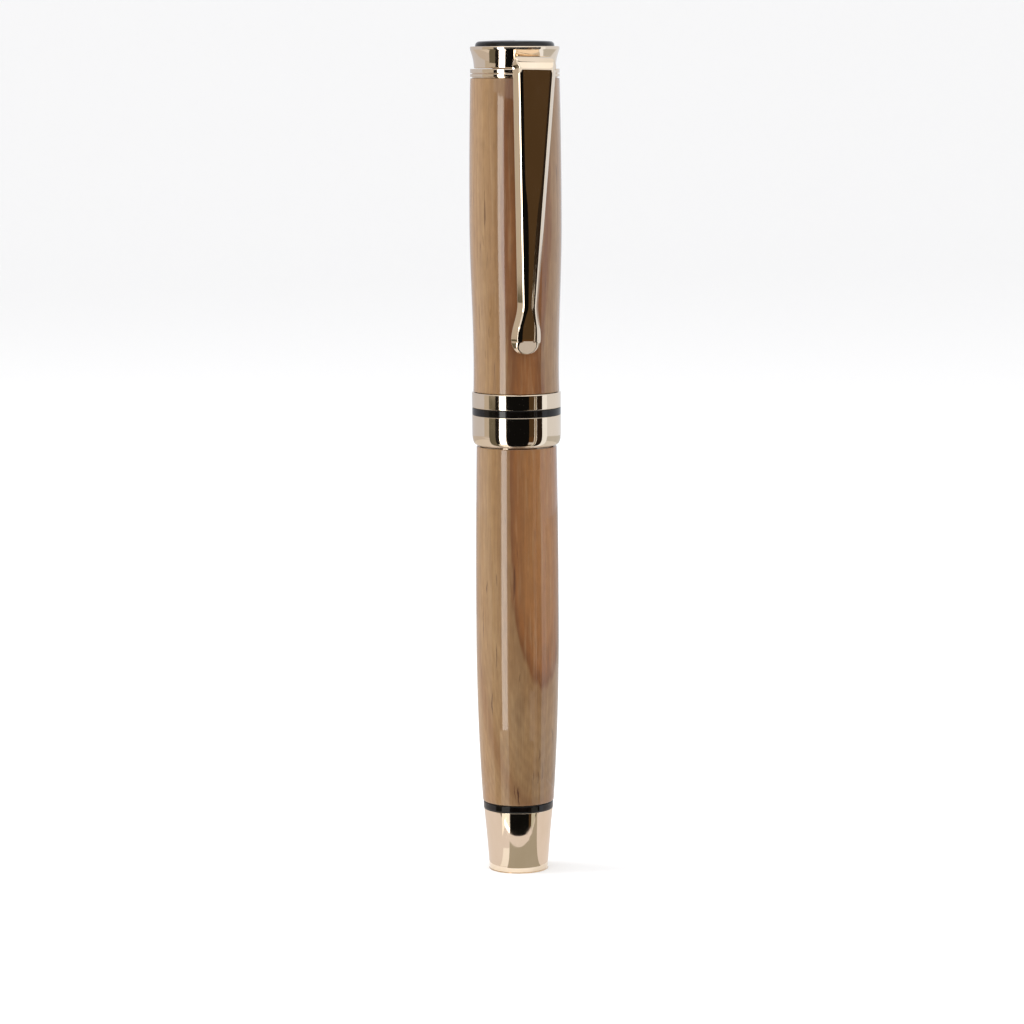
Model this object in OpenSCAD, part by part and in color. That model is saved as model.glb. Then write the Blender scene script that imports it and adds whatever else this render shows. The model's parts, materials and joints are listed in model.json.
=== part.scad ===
// Capped rollerball pen with a turned wooden barrel and cap.
// +Z runs along the pen, from the tail's end face at z = 0 to the finial. The clip is on -Y.
// Screw threads are rows of plain ridges with running clearance, so that mating pieces stay apart.

/* [Barrel] */
// Length of the gold tail
tail_len = 10.5; // [9:0.5:13]
// Radius of the tail's end
tail_end_r = 5; // [4.6:0.1:5.4]
// Radius of the tail where it meets its black ring
tail_top_r = 5.85; // [5.6:0.05:6]
// Length of the turned wooden barrel
barrel_len = 60.59; // [58:0.01:66]
// Radius of the wooden barrel at its tail
barrel_tail_r = 6.02; // [5.9:0.01:6.3]
// Largest radius of the wooden barrel
barrel_max_r = 6.99; // [6.8:0.01:7.2]
// Radius of the wooden barrel at its mouth
barrel_mouth_r = 6.74; // [6.6:0.01:6.8]

/* [Centre band] */
// Radius of the centre band
band_r = 7.45; // [7.2:0.05:7.8]
// Height of the lower gold ring
band_lower_h = 5.18; // [4.8:0.01:5.6]
// Height of the black ring
band_black_h = 1.17; // [0.9:0.01:1.6]
// Height of the upper gold ring
band_upper_h = 2.64; // [2.2:0.01:3]

/* [Cap] */
// Length of the turned wooden cap
cap_len = 52.16; // [50:0.01:56]
// Radius of the wooden cap at its waist
cap_waist_r = 7.16; // [7:0.01:7.3]
// Largest radius of the wooden cap
cap_max_r = 7.71; // [7.4:0.01:7.8]
// Radius of the wooden cap at its top
cap_top_r = 7.44; // [7.2:0.01:7.6]
// Height of the finial above the clip's collar
finial_h = 3.61; // [3.2:0.01:4.5]
// Radius of the finial's rim
finial_rim_r = 7.45; // [7.2:0.05:7.6]
// Radius of the finial's neck
finial_neck_r = 6.82; // [6.5:0.01:7]
// Radius of the black disc in the finial
disc_r = 6.6; // [6:0.05:6.8]

/* [Clip] */
// Width of the clip at its bend
clip_bend_w = 7.4; // [6:0.1:7.6]
// Width of the clip's neck
clip_neck_w = 3.3; // [2.8:0.1:4]
// Width of the clip's pad
clip_pad_w = 5.2; // [4.2:0.1:5.6]
// Length of the clip from its bend to its toe
clip_len = 49.05; // [44:0.05:54]
// Sideways lean of the clip, in degrees
clip_lean = 1.3; // [0:0.1:2]

/* [Refill] */
// Length of the refill from plug to ball
refill_len = 110.7; // [109:0.1:111]
// Diameter of the refill's tube
refill_d = 6.1; // [5.8:0.1:6.2]
// Diameter of the ball
ball_d = 0.7; // [0.5:0.1:1]

/* [Hidden] */

// Facets of a full turn: enough to be read as true circles
$fn = 96;
// Steps along a turned outline
OUTLINE_STEPS = 28;
// Steps of a small rounded edge
EDGE_STEPS = 5;

GOLD = [0.78, 0.69, 0.52];
BLACK = [0.06, 0.05, 0.06];
WOOD = [0.62, 0.42, 0.24];
BRASS = [0.75, 0.6, 0.3];
STEEL = [0.7, 0.7, 0.72];
INK = [0.1, 0.14, 0.35];

// Fits
// Running clearance of a turning or sliding piece, on the radius
run_gap = 0.06;
// Axial gap between faces of pieces that turn or lift apart
face_gap = 0.02;

// Heights of the barrel's pieces
tail_ring_z = tail_len + 0.03;
tail_ring_h = 1.25;
wood_z = tail_ring_z + tail_ring_h;
mouth_z = wood_z + barrel_len;
tail_ring_r = 5.92;
barrel_tube_r = 5.25;
tube_wall = 0.35;
barrel_tube_in_r = barrel_tube_r - tube_wall;
// Height of the barrel's widest point above the wood's tail
barrel_max_up = 29.6;

// Tail
stud_r = 4;
stud_len = 7.5;
spring_bore_r = 3.4;
spring_seat_z = 3.5;
tail_edge = 0.25;

// Barrel coupler and the section's own thread
thread_pitch = 0.9;
thread_depth = 0.33;
coupler_flange_r = 5.9;
coupler_flange_h = 0.75;
coupler_depth = 10.5;
tenon_r = 4.27;
tenon_bore_gap = 0.06;
flange_top_z = mouth_z + coupler_flange_h;

// Section
section_ring_h = 1.2;
shoulder_z = flange_top_z + section_ring_h;
cap_thread_r = 5.22;
cap_thread_len = 9.6;
cap_thread_z = shoulder_z + 0.6;
grip_z = cap_thread_z + cap_thread_len + 0.6;
grip_len = 22.5;
nose_z = grip_z + grip_len;
nose_len = 10.9;
section_bore_r = 3.2;
spigot_r = 4.1;
grip_rear_r = 5.05;
grip_waist_r = 4.55;
grip_front_r = 4.72;
nose_tip_r = 1.75;

// Refill
refill_r = refill_d / 2;
refill_z = 9.15;
refill_tip_z = refill_z + refill_len;
refill_wall = 0.3;
plug_h = 1.4;
plug_spigot_h = 3.5;
refill_nose_len = 14.6;
refill_nose_z = refill_tip_z - refill_nose_len;
refill_neck_r = 2.2;
refill_snout_r = 1.2;
tip_len = 4.2;
tip_z = refill_tip_z - tip_len;
tip_r = 0.62;
ball_r = ball_d / 2;
ball_gap = 0.02;
ball_z = refill_tip_z - ball_r;
feed_r = 0.45;

// Centre band and cap
lip_gap = 0.16;
band_z = mouth_z + lip_gap;
band_black_z = band_z + band_lower_h;
band_upper_z = band_black_z + band_black_h;
cap_wood_z = band_upper_z + band_upper_h + 0.06;
cap_end_z = cap_wood_z + cap_len;
cap_tube_r = 6.5;
cap_tube_in_r = cap_tube_r - tube_wall;
lip_r = 6.86;
lip_round = 0.35;
lip_drop = 1.9;
cap_mouth_h = 2.1;
// Heights of the cap's waist and widest point above the wood's lower end
cap_waist_up = 4.2;
cap_max_up = 28.7;

// Cap liner
liner_r = cap_tube_in_r - run_gap;
liner_in_r = 5.2;
liner_z = nose_z - 4;
liner_top_t = 1.3;

// Cap bush, clip collar and finial
bush_groove = 0.2;
bush_flange_h = 0.5;
bush_flange_z = cap_end_z + 0.21;
bush_flange_r = 7.45;
bush_z = cap_end_z - 7.6;
bush_bore_r = 3.6;
collar_z = bush_flange_z + bush_flange_h + bush_groove;
collar_h = 0.7;
collar_r = 7.45;
collar_hole_r = 4.2;
finial_z = collar_z + collar_h;
finial_rim_h = 0.46;
finial_foot_h = 0.28;
disc_seat_r = 5.2;
disc_seat_h = 0.9;
disc_z = finial_z + finial_h;
disc_h = 1.04;
disc_edge = 0.72;
liner_top_z = bush_z - 0.1;

// Clip, with distances measured outwards from the pen's axis
clip_top_z = finial_z + 1.95;
clip_bend_y = 10.2;
clip_pad_y = 8.8;
clip_seam_y = 8.65;
clip_seam = 0.05;
clip_leg_y = 7.42;
clip_bend_t = 2.3;
clip_bend_round = 0.8;
clip_thick = 1.3;
clip_pad_t = 1.12;
clip_toe_z = clip_top_z - clip_len;
clip_crease_z = clip_toe_z + 2.4;
clip_pad_z = clip_toe_z + 2.7;
clip_neck_z = clip_toe_z + 8.2;
clip_toe_y = 7.95;

// Refill spring
spring_wire_r = 0.22;
spring_r = 2.55;
spring_turns = 7;
spring_steps = 14;
spring_sides = 8;
spring_h = refill_z - spring_seat_z - 0.05;

// ---- Outlines ----

// Quarter of a round edge about [r, z], from angle a0 to a1
function edge(r, z, size, a0, a1) =
  [for (i = [0 : EDGE_STEPS]) let (a = a0 + (a1 - a0) * i / EDGE_STEPS) [r + size * cos(a), z + size * sin(a)]];

// Bulge that falls from top_r at z_top to end_r at z_end along a parabola
function bulge(z, z_top, top_r, z_end, end_r) =
  top_r - (top_r - end_r) * pow((z - z_top) / (z_end - z_top), 2);

// Smooth S from 0 to 1
function ease(t) = (1 - cos(180 * max(0, min(1, t)))) / 2;

// Radius of the wooden barrel at a height above its tail
function barrel_r(up) =
  up < barrel_max_up
    ? bulge(up, barrel_max_up, barrel_max_r, 0, barrel_tail_r)
    : bulge(up, barrel_max_up, barrel_max_r, barrel_len, barrel_mouth_r);

// Radius of the wooden cap at a height above its lower end
function cap_r(up) =
  up < cap_waist_up
    ? bulge(up, cap_waist_up, cap_waist_r, 0, cap_waist_r + 0.06)
    : up < cap_max_up
      ? cap_waist_r + (cap_max_r - cap_waist_r) * ease((up - cap_waist_up) / (cap_max_up - cap_waist_up))
      : bulge(up, cap_max_up, cap_max_r, cap_len, cap_top_r);

// ---- Shared shapes ----

module turned(points) {
  rotate_extrude() polygon(points);
}

module rod(r, z, h) {
  translate([0, 0, z]) cylinder(r = r, h = h);
}

module tube(r, hole_r, z, h) {
  difference() {
    rod(r, z, h);
    rod(hole_r, z - 1, h + 2);
  }
}

// Solid rod with a row of thread ridges; reversed, it cuts the mating hole
module threaded_rod(root_r, crest_r, z, h) {
  turns = floor((h - 0.3) / thread_pitch);
  rod(root_r, z, h);
  for (i = [0 : turns - 1]) {
    base = z + 0.15 + i * thread_pitch;
    turned([
      [0, base],
      [root_r - 0.01, base],
      [crest_r, base + 0.32 * thread_pitch],
      [crest_r, base + 0.58 * thread_pitch],
      [root_r - 0.01, base + 0.9 * thread_pitch],
      [0, base + 0.9 * thread_pitch]
    ]);
  }
}

// ---- Barrel ----

module end_cap() {
  color(GOLD)
    difference() {
      union() {
        turned(concat(
          [[0, 0]],
          edge(tail_end_r - tail_edge - 0.05, tail_edge, tail_edge, -90, 0),
          [for (i = [1 : OUTLINE_STEPS / 4])
            let (t = i * 4 / OUTLINE_STEPS, z = tail_edge + (tail_len - tail_edge) * t)
            [tail_end_r - 0.05 + (tail_top_r - tail_end_r + 0.05) * (0.8 * t + 0.2 * t * t), z]],
          [[0, tail_len]]
        ));
        rod(stud_r, tail_len - 0.01, stud_len + 0.01);
      }
      rod(spring_bore_r, spring_seat_z, tail_len + stud_len);
    }
}

module tail_ring() {
  round_edge = 0.2;
  color(BLACK)
    turned(concat(
      [[stud_r, tail_ring_z]],
      edge(tail_ring_r - round_edge, tail_ring_z + round_edge, round_edge, -90, 0),
      edge(tail_ring_r - round_edge, tail_ring_z + tail_ring_h - round_edge, round_edge, 0, 90),
      [[stud_r, tail_ring_z + tail_ring_h]]
    ));
}

module tail_bush() {
  color(BRASS) tube(barrel_tube_in_r, stud_r, wood_z, stud_len + 1.2);
}

module barrel_tube() {
  color(BRASS) tube(barrel_tube_r, barrel_tube_in_r, wood_z, barrel_len);
}

module barrel_wood() {
  round_edge = 0.3;
  steps = OUTLINE_STEPS;
  color(WOOD)
    turned(concat(
      [[barrel_tube_r, wood_z]],
      edge(barrel_r(round_edge) - round_edge, wood_z + round_edge, round_edge, -90, 0),
      [for (i = [1 : steps - 1])
        let (up = round_edge + (barrel_len - round_edge - 0.1) * i / steps)
        [barrel_r(up), wood_z + up]],
      [
        [barrel_r(barrel_len), mouth_z - 0.1],
        [barrel_r(barrel_len) - 0.1, mouth_z],
        [barrel_tube_r, mouth_z]
      ]
    ));
}

module barrel_coupler() {
  color(BRASS)
    difference() {
      union() {
        rod(barrel_tube_in_r, mouth_z - coupler_depth, coupler_depth + 0.01);
        rod(coupler_flange_r, mouth_z, coupler_flange_h);
      }
      rod(tenon_r + tenon_bore_gap, mouth_z - coupler_depth - 1, coupler_depth + coupler_flange_h + 2);
      threaded_rod(
        tenon_r + tenon_bore_gap,
        tenon_r + tenon_bore_gap + thread_depth - 0.08,
        mouth_z - coupler_depth + 1.5,
        coupler_depth - 2
      );
    }
}

// Centre of the spring's wire after a share t of its height, with its end turns closed up
function spring_point(t) =
  let (a = 360 * spring_turns * t, closed = t - 0.07 * sin(360 * t))
  [
    spring_r * cos(a),
    spring_r * sin(a),
    spring_seat_z + spring_wire_r + 0.01 + (spring_h - 2 * spring_wire_r - 0.02) * closed
  ];

module refill_spring() {
  count = spring_turns * spring_steps;
  points = [
    for (i = [0 : count], s = [0 : spring_sides - 1])
      let (
        a = 360 * spring_turns * i / count,
        b = 360 * s / spring_sides,
        centre = spring_point(i / count),
        out = spring_wire_r * cos(b)
      )
      [centre.x + out * cos(a), centre.y + out * sin(a), centre.z + spring_wire_r * sin(b)]
  ];
  sides = [
    for (i = [0 : count - 1], s = [0 : spring_sides - 1])
      let (next = (s + 1) % spring_sides, ring = i * spring_sides)
      [ring + s, ring + next, ring + spring_sides + next, ring + spring_sides + s]
  ];
  first = [for (s = [spring_sides - 1 : -1 : 0]) s];
  last = [for (s = [0 : spring_sides - 1]) count * spring_sides + s];
  color(STEEL) polyhedron(points, concat(sides, [first, last]));
}

// ---- Section ----

module section_ring() {
  color(GOLD)
    tube(coupler_flange_r, tenon_r + run_gap, flange_top_z + face_gap, section_ring_h - 2 * face_gap);
}

module section_core() {
  tenon_z = mouth_z - coupler_depth + 1;
  color(BRASS)
    difference() {
      union() {
        threaded_rod(tenon_r - thread_depth, tenon_r, tenon_z, coupler_depth - 1.5);
        rod(tenon_r, mouth_z - 1, shoulder_z - mouth_z + 1.01);
        rod(cap_thread_r, shoulder_z, 0.6);
        threaded_rod(cap_thread_r - thread_depth, cap_thread_r, cap_thread_z, cap_thread_len);
        rod(cap_thread_r, cap_thread_z + cap_thread_len, 0.6);
        rod(spigot_r, grip_z - 0.01, 12);
      }
      rod(section_bore_r, tenon_z - 1, grip_z - tenon_z + 14);
    }
}

module section_grip() {
  steps = OUTLINE_STEPS / 2;
  color(BLACK)
    difference() {
      turned(concat(
        [[0, grip_z], [grip_rear_r - 0.15, grip_z], [grip_rear_r, grip_z + 0.15]],
        [for (i = [1 : steps])
          let (
            t = i / steps,
            sag = grip_waist_r + (t < 0.62
              ? (grip_rear_r - grip_waist_r) * pow(1 - t / 0.62, 2)
              : (grip_front_r - grip_waist_r) * pow((t - 0.62) / 0.38, 2))
          )
          [sag, grip_z + 0.15 + (grip_len - 0.15) * t]],
        [[0, nose_z]]
      ));
      rod(spigot_r, grip_z - 1, 13);
      rod(section_bore_r, grip_z, grip_len + 1);
      rod(3.9, nose_z - 3.5, 4);
    }
}

module section_nose() {
  steps = OUTLINE_STEPS / 2;
  stop_z = refill_nose_z + 6.05;
  color(GOLD)
    difference() {
      union() {
        turned(concat(
          [[0, nose_z], [grip_front_r - 0.1, nose_z], [grip_front_r, nose_z + 0.12]],
          [for (i = [1 : steps])
            let (t = i / steps)
            [nose_tip_r + (grip_front_r - nose_tip_r) * (1 - pow(t, 1.35)), nose_z + 0.12 + (nose_len - 0.3) * t]],
          [[nose_tip_r - 0.2, nose_z + nose_len], [0, nose_z + nose_len]]
        ));
        rod(3.9, nose_z - 3.3, 3.31);
      }
      rod(section_bore_r, nose_z - 5, refill_nose_z + 0.05 - nose_z + 5);
      rod(refill_neck_r + 0.1, refill_nose_z - 1, stop_z - refill_nose_z + 1);
      rod(refill_snout_r + 0.1, stop_z - 1, nose_len + 2);
    }
}

// ---- Refill ----

module refill_plug() {
  color(BLACK) {
    rod(refill_r, refill_z, plug_h);
    rod(refill_r - refill_wall, refill_z + plug_h, plug_spigot_h - plug_h);
  }
}

module refill_body() {
  color(STEEL)
    tube(refill_r, refill_r - refill_wall, refill_z + plug_h, refill_nose_z - refill_z - plug_h);
}

module ink_reservoir() {
  color(INK)
    difference() {
      rod(refill_r - refill_wall - 0.05, refill_z + plug_spigot_h + 0.5, refill_nose_z - refill_z - 8);
      rod(feed_r, refill_nose_z - 12, 13);
    }
}

module refill_nose() {
  spigot = 3;
  color(BLACK)
    difference() {
      union() {
        rod(refill_r - refill_wall, refill_nose_z - spigot, spigot + 0.01);
        rod(refill_neck_r, refill_nose_z, 6);
        turned([
          [0, refill_nose_z + 5.99],
          [refill_snout_r, refill_nose_z + 5.99],
          [refill_snout_r, tip_z - 0.4],
          [refill_snout_r - 0.3, tip_z + 0.6],
          [0, tip_z + 0.6]
        ]);
      }
      rod(feed_r, refill_nose_z - spigot - 1, tip_z - refill_nose_z + spigot);
      rod(tip_r, tip_z - 1, 3);
    }
}

module ink_feed() {
  color(INK) rod(feed_r, refill_nose_z - 12, tip_z - 1 - refill_nose_z + 12);
}

module refill_tip() {
  cone = 1.2;
  color(STEEL)
    difference() {
      turned([
        [0, tip_z - 1],
        [tip_r, tip_z - 1],
        [tip_r, refill_tip_z - cone],
        [ball_r + 0.05, ball_z + 0.12],
        [0, ball_z + 0.12]
      ]);
      translate([0, 0, ball_z]) sphere(r = ball_r + ball_gap, $fn = 48);
      rod(0.2, tip_z - 2, ball_z - tip_z + 2);
    }
}

module refill_ball() {
  color(STEEL) translate([0, 0, ball_z]) sphere(r = ball_r, $fn = 48);
}

// ---- Cap ----

module cap_liner() {
  color(BLACK)
    difference() {
      rod(liner_r, liner_z, liner_top_z - liner_z);
      rod(liner_in_r, liner_z - 1, liner_top_z - liner_top_t - liner_z + 1);
    }
}

module cap_tube() {
  color(BRASS) tube(cap_tube_r, cap_tube_in_r, cap_wood_z, cap_len);
}

module cap_wood() {
  steps = OUTLINE_STEPS;
  small = 0.1;
  color(WOOD)
    turned(concat(
      [
        [cap_tube_r, cap_wood_z],
        [cap_r(0) - small, cap_wood_z],
        [cap_r(0), cap_wood_z + small]
      ],
      [for (i = [1 : steps - 1])
        let (up = small + (cap_len - 2 * small) * i / steps)
        [cap_r(up), cap_wood_z + up]],
      [
        [cap_r(cap_len), cap_end_z - small],
        [cap_r(cap_len) - small, cap_end_z],
        [cap_tube_r, cap_end_z]
      ]
    ));
}

module cap_coupler() {
  sleeve_z = band_z + cap_mouth_h;
  color(BRASS)
    difference() {
      rod(cap_tube_in_r, sleeve_z, cap_wood_z + 6 - sleeve_z);
      rod(cap_thread_r + run_gap, sleeve_z - 1, cap_wood_z + 8 - sleeve_z);
      threaded_rod(
        cap_thread_r + run_gap,
        cap_thread_r + run_gap + thread_depth,
        cap_thread_z,
        cap_thread_len
      );
    }
}

module band_lower() {
  steps = OUTLINE_STEPS / 4;
  color(GOLD)
    turned(concat(
      [[cap_tube_in_r, band_z]],
      edge(lip_r - lip_round, band_z + lip_round, lip_round, -90, -25),
      [for (i = [1 : steps])
        let (t = i / steps)
        [
          lip_r + (band_r - lip_r) * sin(90 * t),
          band_z + lip_round * 0.6 + lip_drop * (1 - cos(90 * t))
        ]],
      [
        [band_r, band_black_z - 0.08],
        [band_r - 0.08, band_black_z],
        [cap_tube_in_r, band_black_z]
      ]
    ));
}

module band_black() {
  small = 0.06;
  color(BLACK)
    turned([
      [cap_tube_in_r, band_black_z],
      [band_r - small, band_black_z],
      [band_r, band_black_z + small],
      [band_r, band_upper_z - small],
      [band_r - small, band_upper_z],
      [cap_tube_in_r, band_upper_z]
    ]);
}

module band_upper() {
  small = 0.12;
  top = band_upper_z + band_upper_h;
  color(GOLD)
    turned([
      [cap_tube_in_r, band_upper_z],
      [band_r - small, band_upper_z],
      [band_r, band_upper_z + small],
      [band_r, top - small],
      [band_r - small, top],
      [cap_tube_in_r, top]
    ]);
}

module cap_bush() {
  color(GOLD)
    difference() {
      union() {
        rod(cap_tube_in_r, bush_z, bush_flange_z - bush_z + 0.01);
        rod(bush_flange_r - 0.35, cap_end_z, collar_z - cap_end_z);
        rod(bush_flange_r, bush_flange_z, bush_flange_h);
      }
      rod(bush_bore_r, bush_z - 1, collar_z - bush_z + 2);
    }
}

module finial() {
  steps = OUTLINE_STEPS / 2;
  flare_z = finial_z + finial_foot_h;
  flare_h = finial_h - finial_rim_h - finial_foot_h;
  color(GOLD)
    difference() {
      union() {
        turned(concat(
          [[0, finial_z], [finial_neck_r - 0.1, finial_z], [finial_neck_r - 0.02, finial_z + 0.1]],
          [for (i = [0 : steps])
            let (t = i / steps)
            [finial_neck_r + (finial_rim_r - finial_neck_r) * pow(t, 1.7), flare_z + flare_h * t]],
          [
            [finial_rim_r, disc_z - 0.1],
            [finial_rim_r - 0.1, disc_z],
            [0, disc_z]
          ]
        ));
        rod(bush_bore_r, bush_z + 1, finial_z - bush_z - 0.99);
      }
      rod(disc_seat_r, disc_z - disc_seat_h, disc_seat_h + 1);
    }
}

module finial_disc() {
  crown = 0.2;
  side_h = disc_h - disc_edge - crown;
  color(BLACK) {
    rod(disc_seat_r, disc_z - disc_seat_h, disc_seat_h + 0.01);
    turned(concat(
      [[0, disc_z], [disc_r, disc_z], [disc_r, disc_z + side_h]],
      [for (i = [1 : EDGE_STEPS])
        let (a = 90 * i / EDGE_STEPS)
        [disc_r - disc_edge * (1 - cos(a)), disc_z + side_h + disc_edge * sin(a)]],
      [for (i = [1 : EDGE_STEPS])
        let (t = i / EDGE_STEPS)
        [(disc_r - disc_edge) * (1 - t), disc_z + disc_h - crown * (1 - t) * (1 - t)]]
    ));
  }
}

// ---- Clip ----

// Half width of the clip at a height
function clip_half_w(z) =
  z > clip_neck_z
    ? (clip_neck_w + (clip_bend_w - clip_neck_w) * (z - clip_neck_z) / (clip_top_z - clip_neck_z)) / 2
    : z > clip_pad_z
      ? (clip_neck_w + (clip_pad_w - clip_neck_w) * ease((clip_neck_z - z) / (clip_neck_z - clip_pad_z))) / 2
      : clip_pad_w / 2 * pow(max(0, 1 - pow((clip_pad_z - z) / (clip_pad_z - clip_toe_z), 2.2)), 1 / 2.2);

// Lays an outline drawn in [outwards, z] across the clip's width
module across(width) {
  rotate([90, 0, -90]) linear_extrude(width, center = true) children();
}

// Turns the clip about the radial line through its bend
module leaning() {
  translate([0, 0, clip_top_z]) rotate([0, clip_lean, 0]) translate([0, 0, -clip_top_z]) children();
}

// Outline of the clip from the front, as [x, z]
module clip_front() {
  taper = [for (i = [0 : 2]) clip_top_z - clip_bend_round - (clip_top_z - clip_bend_round - clip_neck_z) * i / 2];
  pad = [for (i = [1 : 12]) clip_neck_z - (clip_neck_z - clip_pad_z) * i / 12];
  toe = [for (i = [1 : 12]) clip_pad_z - (clip_pad_z - clip_toe_z) * sin(90 * i / 12)];
  heights = concat(taper, pad, toe);
  half_w = clip_half_w(clip_top_z);
  round_top = [
    for (i = [0 : EDGE_STEPS])
      let (a = 90 * i / EDGE_STEPS)
      [half_w - clip_bend_round * (1 - sin(a)), clip_top_z - clip_bend_round * (1 - cos(a))]
  ];
  right = concat(round_top, [for (z = heights) [clip_half_w(z), z]]);
  left = [for (i = [len(right) - 1 : -1 : 0]) [-right[i].x, right[i].y]];
  polygon(concat(right, left));
}

module clip_ring() {
  color(GOLD) {
    difference() {
      rod(collar_r, collar_z, collar_h);
      rod(collar_hole_r, collar_z - 1, collar_h + 2);
    }
    leaning()
      intersection() {
        across(clip_bend_w)
          polygon([
            [clip_leg_y - 0.2, collar_z],
            [clip_seam_y - clip_seam, collar_z],
            [clip_seam_y - clip_seam, clip_top_z],
            [clip_leg_y + 0.5, clip_top_z],
            [clip_leg_y, clip_top_z - 0.5],
            [clip_leg_y, collar_z + collar_h],
            [clip_leg_y - 0.2, collar_z + collar_h]
          ]);
        rotate([90, 0, 0]) linear_extrude(clip_bend_y + 1) clip_front();
      }
  }
}

module clip_arm() {
  bend_low_z = clip_top_z - clip_bend_t;
  color(GOLD)
    leaning()
      intersection() {
        across(clip_bend_w)
          polygon(concat(
            [[clip_seam_y, clip_top_z]],
            edge(clip_bend_y - clip_bend_round, clip_top_z - clip_bend_round, clip_bend_round, 90, 0),
            [
              [clip_pad_y, clip_crease_z],
              [clip_toe_y + 0.1, clip_toe_z],
              [clip_toe_y - 0.2, clip_toe_z],
              [clip_pad_y - clip_pad_t, clip_crease_z],
              [clip_bend_y - clip_thick, bend_low_z - 0.3],
              [clip_bend_y - clip_thick - 0.1, bend_low_z],
              [clip_seam_y, bend_low_z]
            ]
          ));
        rotate([90, 0, 0]) linear_extrude(clip_bend_y + 1) clip_front();
      }
}

end_cap();
tail_ring();
tail_bush();
barrel_tube();
barrel_wood();
barrel_coupler();
refill_spring();
section_ring();
section_core();
section_grip();
section_nose();
refill_body();
refill_plug();
ink_reservoir();
ink_feed();
refill_nose();
refill_tip();
refill_ball();
cap_liner();
cap_tube();
cap_wood();
cap_coupler();
band_lower();
band_black();
band_upper();
cap_bush();
clip_ring();
clip_arm();
finial();
finial_disc();
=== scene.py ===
"""Looks of a capped rollerball pen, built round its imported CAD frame. Everything is in metres."""
import json
import math

import bmesh
import bpy
from mathutils import Matrix, Vector


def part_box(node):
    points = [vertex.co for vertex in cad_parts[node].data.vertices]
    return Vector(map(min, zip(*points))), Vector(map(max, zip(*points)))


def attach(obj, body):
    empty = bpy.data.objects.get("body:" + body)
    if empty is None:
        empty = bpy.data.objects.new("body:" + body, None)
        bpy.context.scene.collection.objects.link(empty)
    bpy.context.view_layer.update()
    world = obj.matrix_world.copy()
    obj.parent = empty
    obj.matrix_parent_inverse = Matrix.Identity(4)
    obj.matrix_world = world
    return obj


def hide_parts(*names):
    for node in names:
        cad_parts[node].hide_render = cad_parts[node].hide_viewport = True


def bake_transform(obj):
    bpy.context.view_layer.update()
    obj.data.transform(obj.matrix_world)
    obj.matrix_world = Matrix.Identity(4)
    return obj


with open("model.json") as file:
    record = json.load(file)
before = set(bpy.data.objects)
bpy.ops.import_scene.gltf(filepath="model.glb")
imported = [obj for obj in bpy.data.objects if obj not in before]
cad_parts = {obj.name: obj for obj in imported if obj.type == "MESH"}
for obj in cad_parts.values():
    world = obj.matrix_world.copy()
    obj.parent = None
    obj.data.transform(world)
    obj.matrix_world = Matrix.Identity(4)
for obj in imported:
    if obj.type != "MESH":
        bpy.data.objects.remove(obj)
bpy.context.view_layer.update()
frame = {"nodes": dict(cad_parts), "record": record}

MM = 0.001
CAMERA_AZIMUTH = math.radians(-20)
NODES = frame["nodes"]
BODY_OF = {n: body for body, names in frame["record"]["behaviour"]["bodies"].items() for n in names}
SLOT_OF = {s["node"]: s["material_slot"] for s in frame["record"]["subparts"]}
# Sides of a turned piece that shows from outside, and of one that doesn't
AROUND, AROUND_INSIDE = 192, 96
# Points of an outline nearer than this are one point
SAME_POINT = 0.003 * MM
# An outline's corner is sharp where it turns by more than this, and its rounding has this many steps
SHARP_TURN, ROUND_STEPS = math.radians(24), 3
# Greatest share of a side that a rounding takes, and where the points that hold its ends stand
ROUND_SHARE, SUPPORT = 0.3, 1.45
# How much of a curved stretch is left as it is beside a sharp corner
CLEAR = 0.45


# ---- Turned pieces ----

def turned_outline(node):
    """The (r, z) outline of a turned CAD node, read from its own vertices.

    It runs from the axis back to the axis, or round a closed loop where the piece has a bore.
    """
    grain = 2e-6
    keys = [
        (round(math.hypot(v.co.x, v.co.y) / grain), round(v.co.z / grain))
        for v in node.data.vertices
    ]
    linked = {k: set() for k in keys}
    for edge in node.data.edges:
        a, b = (keys[i] for i in edge.vertices)
        if a != b:
            linked[a].add(b)
            linked[b].add(a)
    ends = [k for k in linked if len(linked[k]) == 1]
    start = min(ends or linked, key=lambda k: (k[1], k[0]))
    chain = [start]
    while True:
        onward = [k for k in linked[chain[-1]] if k not in chain]
        if not onward:
            break
        chain.append(min(onward, key=lambda k: abs(k[1] - chain[-1][1]) + abs(k[0] - chain[-1][0])))
    if len(chain) != len(linked):
        raise ValueError(f"{node.name} isn't one turned outline: {len(chain)} of {len(linked)} rings")
    points = [Vector((r * grain, z * grain)) for r, z in chain]
    closed = not ends
    if ends:
        points = [Vector((0, points[0].y))] + points + [Vector((0, points[-1].y))]
    return points, closed


def without_doubles(points):
    kept = [points[0]]
    for p in points[1:]:
        if (p - kept[-1]).length > SAME_POINT:
            kept.append(p)
    return kept


def turn_angle(before, here, after):
    a, b = here - before, after - here
    if a.length < 1e-9 or b.length < 1e-9:
        return 0.0
    return abs(a.angle_signed(b))


def smooth_point(p0, p1, p2, p3, t):
    """A point between p1 and p2 on the Catmull-Rom curve through all four."""
    return 0.5 * (
        2 * p1
        + (p2 - p0) * t
        + (2 * p0 - 5 * p1 + 4 * p2 - p3) * t * t
        + (3 * p1 - p0 - 3 * p2 + p3) * t * t * t
    )


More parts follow.
